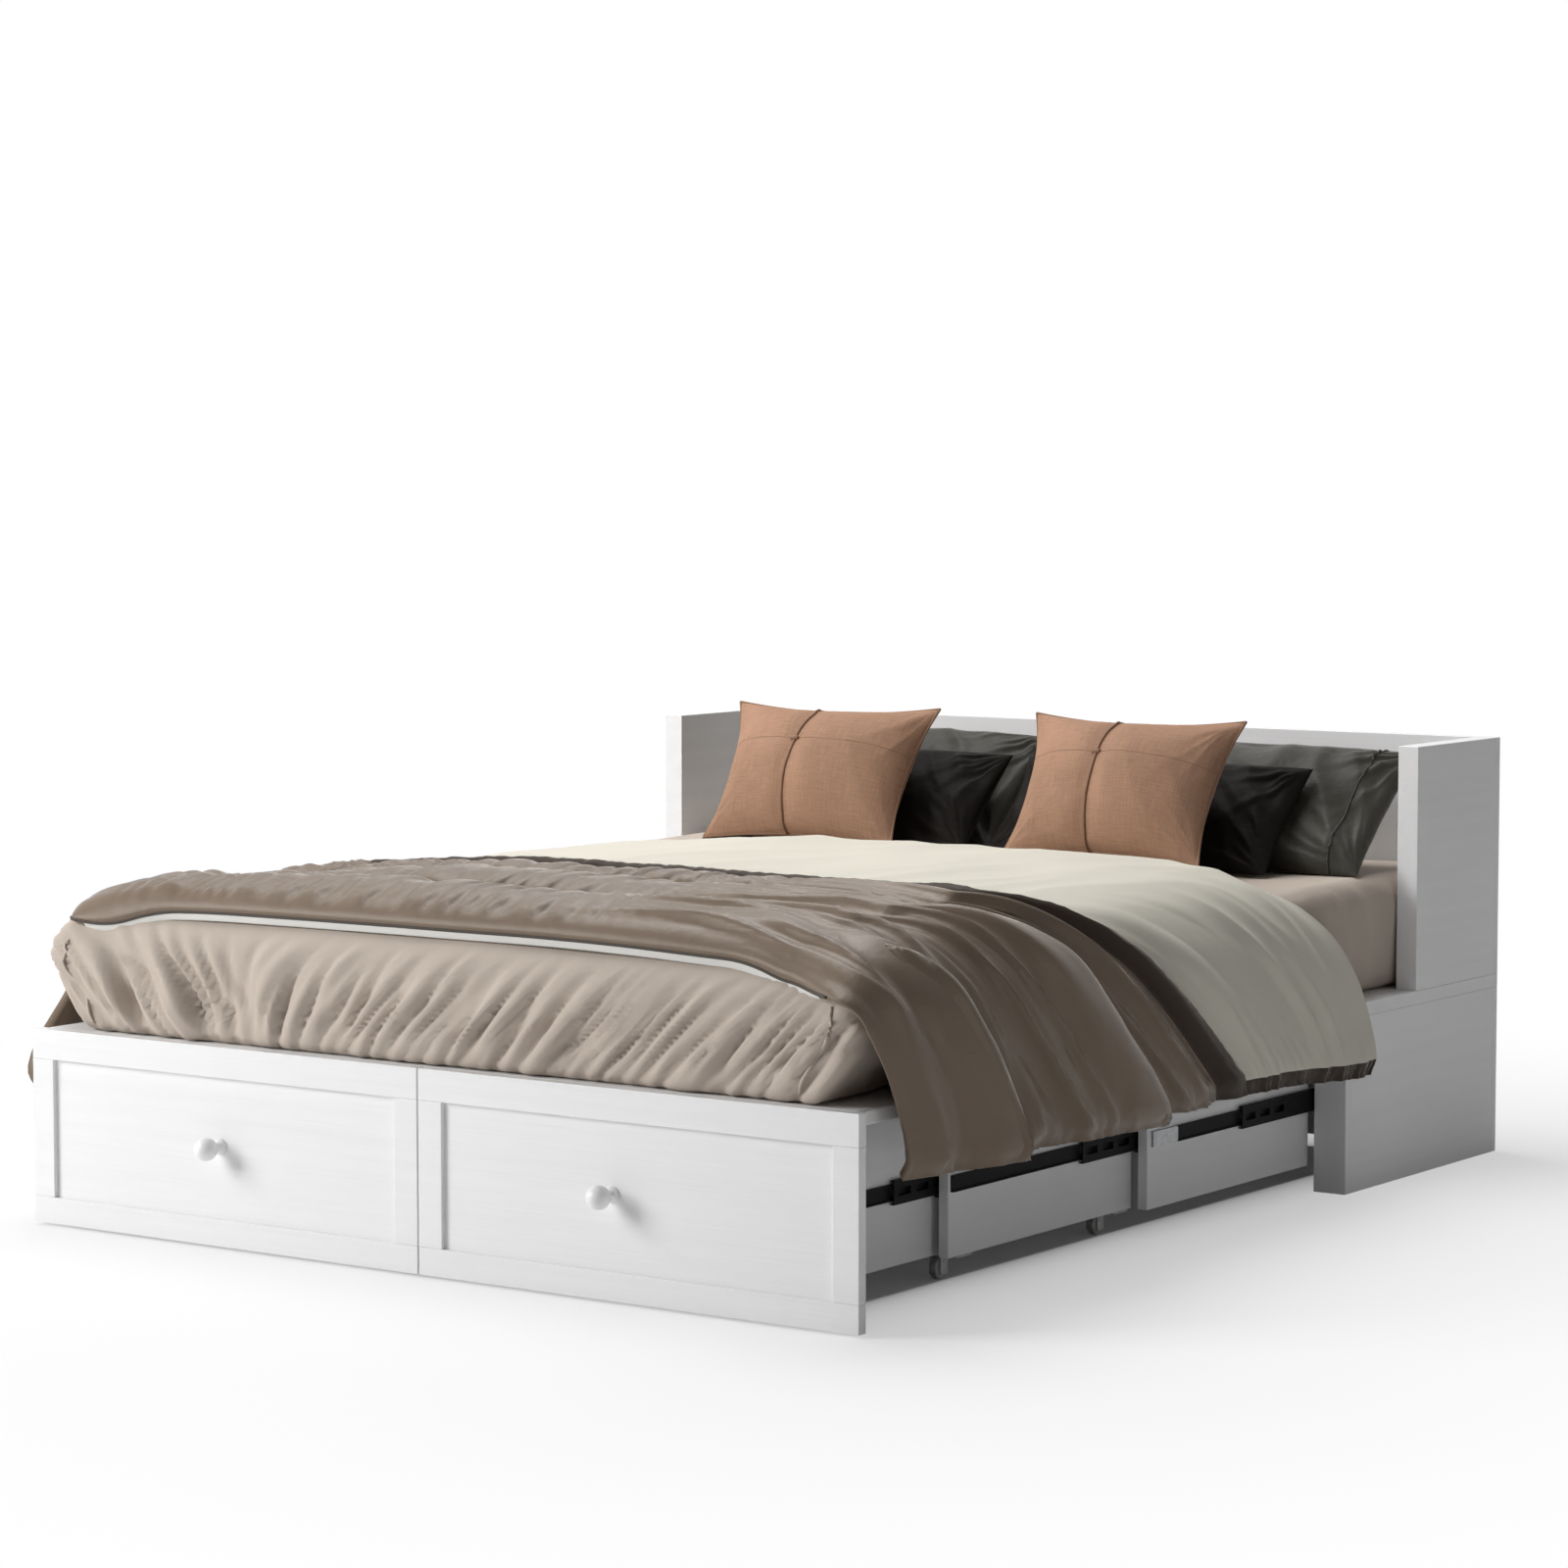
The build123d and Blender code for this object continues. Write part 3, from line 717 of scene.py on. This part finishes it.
def makeQuilt():
    q = quilt
    ws = hemArc * (2 * edgeSpacing(2 * hemArc, 300) - 1)
    vs = edgeSpacing(q["length"], 120)
    v, w = np.meshgrid(vs, ws, indexing="ij")
    foot, head = quiltEdges(w)
    d = foot + v * (head - foot)
    points, hang = drape(w, d)
    n = outwardNormals(points)
    # the far side hangs flatter than the near one
    full = 0.3 + 0.7 * rise(w, -0.35, 0.15)
    standOut, slide = panelFolds(v, hang)
    points[..., 1] += full * slide
    toEdge = np.minimum(v, 1 - v) * (head - foot)
    toHem = hemArc - np.abs(w)
    calm = 0.2 + 0.8 * rise(toEdge, 0.0, 0.045)
    # sewn channels across the bed
    puff = np.zeros_like(v)
    for a, b in zip(q["seams"], q["seams"][1:]):
        t = np.clip((v - a) / (b - a), 0, 1)
        puff = np.maximum(puff, (4 * t * (1 - t)) ** 0.45 * (v >= a) * (v <= b))
    lift = q["puff"] * puff * (1 - 0.8 * hang)
    # puckers that lean away from the seams, and long folds down the drape
    lean = w - 0.12 * d
    puckers = creases(lean, d, 0.058, 0.60, q["seed"] + 1, 1.3) - 0.3
    small = creases(lean, d, 0.030, 0.35, q["seed"] + 2, 1.4) - 0.3
    nearSeam = np.zeros_like(v)
    for a in q["seams"]:
        nearSeam = np.maximum(nearSeam, np.exp(-(((v - a) * (head - foot)) / 0.06) ** 2))
    settled = rise(toEdge, 0.010, 0.05)
    # they give way to the long folds before the edge of the bed
    flatTop = (1 - hang) * settled * (1 - rise(w, 0.12, 0.50)) * (1 - rise(-w, 0.50, 0.75))
    drawnIn = q["pucker"] * puckers * (0.25 + 0.75 * nearSeam) + q["smallPucker"] * small * nearSeam
    lift -= flatTop * drawnIn
    swell = gradientNoise(w / 0.30, d / 0.22, q["seed"] + 4)
    lift += (1 - 0.5 * hang) * settled * q["swell"] * swell
    spread = v * q["length"]
    pulls = creases(spread, w, 0.05, 0.6, q["seed"] + 5, 1.1) - 0.35
    finePulls = creases(spread, w, 0.022, 0.35, q["seed"] + 15, 1.2) - 0.3
    pulled = rise(np.abs(w), 0.14, 0.62) * calm
    hills = gradientNoise(spread / 0.06, w / 0.5, q["seed"] + 25)
    drawn = q["hill"] * hills + q["pull"] * pulls + q["finePull"] * finePulls
    lift += full * (pulled * drawn + standOut)
    hemGather = creases(spread * (1 + v), w, 0.017, 0.09, q["seed"] + 6, 1.2) - 0.35
    lift += hang * q["hemGather"] * hemGather * np.exp(-((toHem / 0.05) ** 2))
    lift -= hang * q["hemTuck"] * np.exp(-((toHem / 0.02) ** 2))
    # the gathered dark band along the head edge
    ruffle = creases(w, d, 0.03, 0.2, q["seed"] + 8, 1.0) - 0.4
    lift += q["ruffle"] * ruffle * rise(v, q["bandFrom"] - 0.02, 0.99)
    top = points + n * lift[..., None]
    nTop = sameSide(top, n)
    # at the foot edge the thickness stands upright, so that the lining shows as a band
    upright = ((1 - hang) * (1 - rise(v * (head - foot), 0.02, 0.12)))[..., None]
    nTop = nTop * (1 - upright) + upright * np.array([0, 0, 1])
    nTop /= np.linalg.norm(nTop, axis=-1, keepdims=True)
    depth = rimDepth(np.minimum(toEdge, toHem), q) * (1 - q["hangThin"] * hang)
    bottom = top - nTop * depth[..., None]
    flat = np.stack([w, spread], axis=-1)
    bandRow = int(np.searchsorted(vs, q["bandFrom"]))
    liningRow = int(np.searchsorted(vs, q["liningTo"]))
    onTop = np.abs(ws) < shoulderArc - 0.02

    def kindOf(row, column, up):
        if not up and onTop[column] and row < liningRow:
            return 2
        return 1 if row >= bandRow else 0

    piece = closedCover("quilt_cover", top, bottom, flat, kindOf)
    settle(piece, "platform", "quilt_fabric", quiltCloth, bandCloth, liningCloth)
    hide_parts("quilt")
    footLine = (top[0] + n[0] * 0.0012)[np.abs(ws) < shoulderArc + 0.02]
    piping = tubeAlong("quilt_piping_foot", footLine, q["pipingRadius"])
    settle(piping, "platform", "quilt_fabric", pipingCloth)
    return piece


makeQuilt()
print("quilt ready")


duvet = {
    "under": 0.07, "headTop": 1.482, "headPuff": 0.016, "headHem": 1.592, "thickness": 0.024, "edge": 0.012,
    "drop": 0.010, "cornerDrop": 0.020, "underDrop": 0.014, "sideDip": 0.09, "band": 0.036, "length": 0.9,
    "hangThin": 0.45, "fold": 0.004, "swell": 0.006, "sidePull": 0.010, "sideSwell": 0.008,
    "edgeRise": 0.010, "hemGather": 0.005, "hemTuck": 0.016, "seed": 71,
}


def makeDuvet():
    u = duvet
    ws = hemArc * (2 * edgeSpacing(2 * hemArc, 230) - 1)
    vs = edgeSpacing(u["length"], 110)
    v, w = np.meshgrid(vs, ws, indexing="ij")
    quiltHead = quiltEdges(w)[1]
    down = rise(np.abs(w), shoulderArc - 0.10, hemArc)
    foot = quiltHead - u["under"]
    dip = u["sideDip"] * rise(np.abs(w), 0.45, shoulderArc)
    head = u["headTop"] - dip + (u["headHem"] - u["headTop"] + u["sideDip"]) * down**0.9
    head = head + 0.012 * gradientNoise(w / 0.3, w * 0 + 1.5, u["seed"])
    d = foot + v * (head - foot)
    points, hang = drape(w, d)
    n = outwardNormals(points)
    toHem = hemArc - np.abs(w)
    toEdge = np.minimum(v, 1 - v) * (head - foot)
    fold = creases(w - 0.35 * d, d, 0.17, 0.45, u["seed"] + 1, 1.0) - 0.4
    swell = gradientNoise(w / 0.3, d / 0.28, u["seed"] + 2)
    pulls = creases(v * 0.8, w, 0.12, 0.6, u["seed"] + 3, 0.9) - 0.4
    lift = -u["drop"] + (1 - hang) * (u["fold"] * fold + u["swell"] * swell)
    lift += hang * (u["sidePull"] * pulls + u["sideSwell"] * swell)
    lift += u["edgeRise"] * rise(toEdge, 0.0, 0.08)
    lift += u["headPuff"] * (1 - hang) * rise(v, 0.3, 0.75) * rise(toEdge, 0.0, 0.09)
    lift -= u["underDrop"] * (1 - rise(v * (head - foot), u["under"] - 0.02, u["under"] + 0.05))
    gather = creases(v * u["length"], w, 0.03, 0.1, u["seed"] + 5, 1.1) - 0.35
    lift += hang * u["hemGather"] * gather * np.exp(-((toHem / 0.05) ** 2))
    lift -= hang * u["hemTuck"] * np.exp(-((toHem / 0.022) ** 2))
    top = points + n * lift[..., None]
    top[..., 2] -= u["cornerDrop"] * hang * rise(v, 0.25, 1.0)
    nTop = sameSide(top, n)
    depth = rimDepth(np.minimum(toEdge, toHem), u)
    bottom = top - nTop * depth[..., None] * (1 - u["hangThin"] * hang[..., None])
    flat = np.stack([w, v * u["length"]], axis=-1)
    bandCols = hemArc - np.abs(ws) < u["band"]
    piece = closedCover("duvet_cover", top, bottom, flat, lambda r, c, up: 1 if bandCols[c] else 0)
    settle(piece, "platform", "duvet_fabric", duvetCloth, bandCloth)
    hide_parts("duvet")
    return piece


makeDuvet()
print("duvet ready")


# pillows: two panels sewn together round the edge and stuffed
panelColumns, panelRows = 96, 64


def pillowFolds(x, y, look, seed):
    # slack across the panel, and pulls that run in from the four corners
    wide, tall = look["width"] / 2, look["height"] / 2
    slack = creases(0.8 * x + 0.6 * y, 0.8 * y - 0.6 * x, look["foldSpacing"], 0.30, seed, 1.2) - 0.35
    lift = look["fold"] * slack + look["swell"] * gradientNoise(x / 0.13, y / 0.12, seed + 1)
    for right in (-1, 1):
        for up in (-1, 1):
            away = np.hypot(x - right * wide, y - up * tall)
            turn = np.arctan2(y - up * tall, x - right * wide)
            pull = creases(turn, away, 0.24, 0.25, seed + 5 + right + 3 * up, 1.2) - 0.3
            lift += look["pull"] * pull * np.exp(-((away / 0.13) ** 2))
    return lift


def sewnPanels(name, look, seed):
    wide, tall = look["width"] / 2, look["height"] / 2
    a, b = np.meshgrid(
        np.sin(np.linspace(-math.pi / 2, math.pi / 2, panelColumns)),
        np.sin(np.linspace(-math.pi / 2, math.pi / 2, panelRows)),
    )
    x = a * wide * (1 - look["pinch"] * (1 - b * b) * a * a) * (1 + look.get("taper", 0.0) * b)
    y = b * tall * (1 - look["pinch"] * (1 - a * a) * b * b)
    dome = ((1 - a * a) * (1 - b * b)) ** look["dome"] * look["half"]
    inset = np.minimum((1 - np.abs(a)) * wide, (1 - np.abs(b)) * tall)
    free = rise(inset, 0.0, 0.035)
    panels = []
    for facing, shift in ((1, 0), (-1, 50)):
        lift = pillowFolds(x, y, look, seed + shift) * free
        if "cordAt" in look:
            lift -= look["cordDent"] * np.exp(-(((a - look["cordAt"]) * wide / 0.022) ** 2)) * free
        panels.append(np.stack([x, y, facing * (dome + lift)], axis=-1))
    flat = np.stack([a * wide, b * tall], axis=-1)
    return closedCover(name, panels[0], panels[1], flat, lambda r, c, up: 0)


def smoothOnce(piece):
    modifier = piece.modifiers.new("smooth", "SUBSURF")
    modifier.levels = 1
    modifier.render_levels = 1


def lean(piece, look, sign):
    # stand the pillow on its lower edge, tip it back and set it on the bed
    p = np.array([v.co for v in piece.data.vertices])
    low = p[:, 1].min()
    along, up, out = p[:, 0], p[:, 1] - low, p[:, 2]
    tip = math.radians(look["tip"]) + look["slump"] * (up / up.max() - 0.4)
    d = look["foot"] + up * np.sin(tip) - out * np.cos(tip)
    z = look["rest"] + up * np.cos(tip) + out * np.sin(tip)
    turn = math.radians(look.get("turn", 0.0)) * sign
    x = along * math.cos(turn)
    d = d + along * math.sin(turn)
    z = np.maximum(z, look["rest"] + 0.02 * (z - look["rest"]))
    placed = np.c_[sign * look["centre"] + x, d + footY, z]
    piece.data.vertices.foreach_set("co", placed.astype(np.float32).ravel())
    piece.data.update()


backPillow = {
    "width": 0.735, "height": 0.312, "pinch": 0.05, "half": 0.075, "dome": 0.46, "seed": 101,
    "fold": 0.010, "foldSpacing": 0.085, "swell": 0.010, "pull": 0.012,
    "centre": 0.385, "foot": 1.690, "rest": 0.536, "tip": 53, "slump": -0.12,
    "weltAt": 0.84, "weltRadius": 0.0022, "leftShort": 0.09,
}
frontPillow = {
    "width": 0.600, "height": 0.252, "pinch": 0.05, "half": 0.058, "dome": 0.46, "seed": 131,
    "fold": 0.009, "foldSpacing": 0.075, "swell": 0.008, "pull": 0.012,
    "centre": 0.318, "foot": 1.598, "rest": 0.538, "tip": 49, "slump": -0.12,
}
cushion = {
    "width": 0.432, "height": 0.288, "taper": 0.035, "pinch": 0.115, "half": 0.084, "dome": 0.62,
    "seed": 161, "fold": 0.003, "foldSpacing": 0.10, "swell": 0.004, "pull": 0.003, "cordDent": 0.010,
    "centre": 0.330, "foot": 1.506, "rest": 0.556, "tip": 32, "slump": -0.06, "turn": -2,
    "cordAt": -0.10, "seamAt": 0.26,
    "cordRadius": 0.0030, "pipingRadius": 0.0026, "seamRadius": 0.0011, "knotRadius": 0.0036,
}


def makePillow(kind, look, side, sign, slotName, cloth):
    piece = sewnPanels(f"{kind}_{side}_soft", look, look["seed"] + (7 if sign > 0 else 0))
    lean(piece, look, sign)
    smoothOnce(piece)
    settle(piece, "platform", slotName, cloth)
    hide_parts(f"{kind}_{side}")
    return piece


def panelIndex(share, count):
    # the grid line nearest to a share of the half width or height
    return round((math.asin(share) * 2 / math.pi + 1) / 2 * (count - 1))


def frontPanel(piece):
    # the pillow's front panel as a grid of places, and which way it faces
    count = panelRows * panelColumns
    places = np.array([v.co for v in piece.data.vertices][:count]).reshape(panelRows, panelColumns, 3)
    facing = gridNormals(places)
    facing *= -np.sign(facing[..., 1:2] + 1e-9)
    return places, facing


def makeCushion(side, sign):
    piece = makePillow("cushion", cushion, side, sign, "cushion_fabric", cushionCloth)
    places, facing = frontPanel(piece)
    column = panelIndex(cushion["cordAt"], panelColumns)
    row = panelIndex(cushion["seamAt"], panelRows)
    ring = np.concatenate(
        [places[0, :-1], places[:-1, -1], places[-1, :0:-1], places[:0:-1, 0], places[:1, 0]]
    )
    cordLine = places[:, column] + facing[:, column] * 0.001
    seamLine = places[row] - facing[row] * 0.0006
    knot = places[row, column] + facing[row, column] * 0.003
    knot = knot + np.linspace(-1, 1, 9)[:, None] * np.array([[0.008, 0, 0.001]])
    for name, line, radius in (
        ("piping", ring, cushion["pipingRadius"]),
        ("cord", cordLine, cushion["cordRadius"]),
        ("cross_seam", seamLine, cushion["seamRadius"]),
        ("cord_knot", knot, cushion["knotRadius"]),
    ):
        trim = tubeAlong(f"cushion_{side}_{name}", line, radius)
        settle(trim, "platform", "cushion_fabric", cushionPiping)


def makeBackPillow(side, sign):
    # the left one is bunched up behind its cushion
    short = backPillow["leftShort"] if sign < 0 else 0.0
    look = {**backPillow, "width": backPillow["width"] - short, "centre": backPillow["centre"] - short / 2}
    piece = makePillow("back_pillow", look, side, sign, "back_pillow_fabric", backPillowCloth)
    places, facing = frontPanel(piece)
    column = panelIndex(sign * backPillow["weltAt"], panelColumns)
    line = places[1:-1, column] + facing[1:-1, column] * 0.0004
    welt = tubeAlong(f"back_pillow_{side}_welt", line, backPillow["weltRadius"])
    settle(welt, "platform", "back_pillow_fabric", backPillowCloth)


for side, sign in (("left", -1), ("right", 1)):
    makeBackPillow(side, sign)
    makePillow("front_pillow", frontPillow, side, sign, "front_pillow_fabric", frontPillowCloth)
    makeCushion(side, sign)
print("pillows ready")


# floor, light and camera
studio = {
    "floorSize": 40.0, "floorColour": (0.90, 0.90, 0.90), "footprint": (0.68, 0.92, 0.0), "fadeOver": 1.8,
    "glow": ((0.0, 0.03), (0.06, 0.48), (0.25, 0.62), (0.6, 0.88)),
    "floorBounce": 0.92, "world": 0.085,
}
lamps = {
    "keyLight": {"place": (-4.2, -4.8, 2.9), "aim": (0.0, -0.6, 0.35), "size": 3.2, "power": 340.0},
    "sideFill": {"place": (3.4, -1.0, 0.35), "aim": (0.8, -0.3, 0.2), "size": 0.8, "power": 4.0},
    "topLight": {"place": (-1.0, 0.6, 4.2), "aim": (0, 0.1, 0.4), "size": 3.0, "power": 150.0},
}
view = {"place": (4.3456, -6.2378, 1.2877), "pitchDown": 4.350, "yaw": 34.996, "lens": 100.5, "sensor": 36}


def seesBackground(tree):
    # camera, mirror and glass rays meet plain white; only diffuse light meets the dim studio
    rays = tree.nodes.new("ShaderNodeLightPath")
    seen = mathNode(tree, "MAXIMUM", rays.outputs["Is Camera Ray"], rays.outputs["Is Glossy Ray"])
    return mathNode(tree, "MAXIMUM", seen, rays.outputs["Is Transmission Ray"])


def makeFloor():
    mesh = bpy.data.meshes.new("floor")
    half = studio["floorSize"] / 2
    corners = [(-half, -half, 0), (half, -half, 0), (half, half, 0), (-half, half, 0)]
    mesh.from_pydata(corners, [], [(0, 1, 2, 3)])
    floor = bpy.data.objects.new("floor", mesh)
    scene.collection.objects.link(floor)
    material, tree, shader = newMaterial("floorPale")
    shader.inputs["Roughness"].default_value = 0.9
    shader.inputs["Specular IOR Level"].default_value = 0.1
    seen = seesBackground(tree)
    bounce = (studio["floorBounce"],) * 3
    colour = shadeBetween(tree, seen, 0.0, 1.0, bounce, studio["floorColour"])
    tree.links.new(colour, shader.inputs["Base Color"])
    # beyond the object's shadow the floor runs out into plain white
    glow = tree.nodes.new("ShaderNodeEmission")
    last = tree.nodes.new("ShaderNodeNewGeometry").outputs["Position"]
    for operation, amount in (
        ("ABSOLUTE", None), ("SUBTRACT", studio["footprint"]), ("MAXIMUM", (0, 0, 0)), ("LENGTH", None),
    ):
        step = tree.nodes.new("ShaderNodeVectorMath")
        step.operation = operation
        tree.links.new(last, step.inputs[0])
        if amount is not None:
            step.inputs[1].default_value = amount
        last = step.outputs["Value" if operation == "LENGTH" else "Vector"]
    fade = tree.nodes.new("ShaderNodeFloatCurve")
    curve = fade.mapping.curves[0]
    curve.points[0].location = studio["glow"][0]
    for at, glowShare in studio["glow"][1:]:
        curve.points.new(at, glowShare)
    fade.mapping.update()
    tree.links.new(mathNode(tree, "DIVIDE", last, studio["fadeOver"]), fade.inputs["Value"])
    mask = mathNode(tree, "MULTIPLY", fade.outputs[0], seen)
    mix = tree.nodes.new("ShaderNodeMixShader")
    tree.links.new(mask, mix.inputs["Fac"])
    tree.links.new(shader.outputs[0], mix.inputs[1])
    tree.links.new(glow.outputs[0], mix.inputs[2])
    tree.links.new(mix.outputs[0], tree.nodes["Material Output"].inputs["Surface"])
    mesh.materials.append(material)


def makeWorld():
    world = bpy.data.worlds.new("studio")
    world.use_nodes = True
    scene.world = world
    tree = world.node_tree
    back = tree.nodes["Background"]
    back.inputs["Color"].default_value = (1, 1, 1, 1)
    strength = mathNode(tree, "MAXIMUM", seesBackground(tree), studio["world"])
    tree.links.new(strength, back.inputs["Strength"])


def softbox(name, lamp):
    light = bpy.data.lights.new(name, "AREA")
    light.shape = "SQUARE"
    light.size = lamp["size"]
    light.energy = lamp["power"]
    box = bpy.data.objects.new(name, light)
    box.location = lamp["place"]
    towards = Vector(lamp["aim"]) - Vector(lamp["place"])
    box.rotation_euler = towards.to_track_quat("-Z", "Y").to_euler()
    scene.collection.objects.link(box)


makeFloor()
makeWorld()
for lampName, lamp in lamps.items():
    softbox(lampName, lamp)

camera = bpy.data.objects.new("camera", bpy.data.cameras.new("camera"))
camera.location = view["place"]
camera.rotation_euler = (math.radians(90 - view["pitchDown"]), 0, math.radians(view["yaw"]))
camera.data.sensor_width = view["sensor"]
camera.data.lens = view["lens"]
camera.data.clip_end = 200
scene.collection.objects.link(camera)
scene.camera = camera
scene.view_settings.view_transform = "Standard"
print("studio ready")
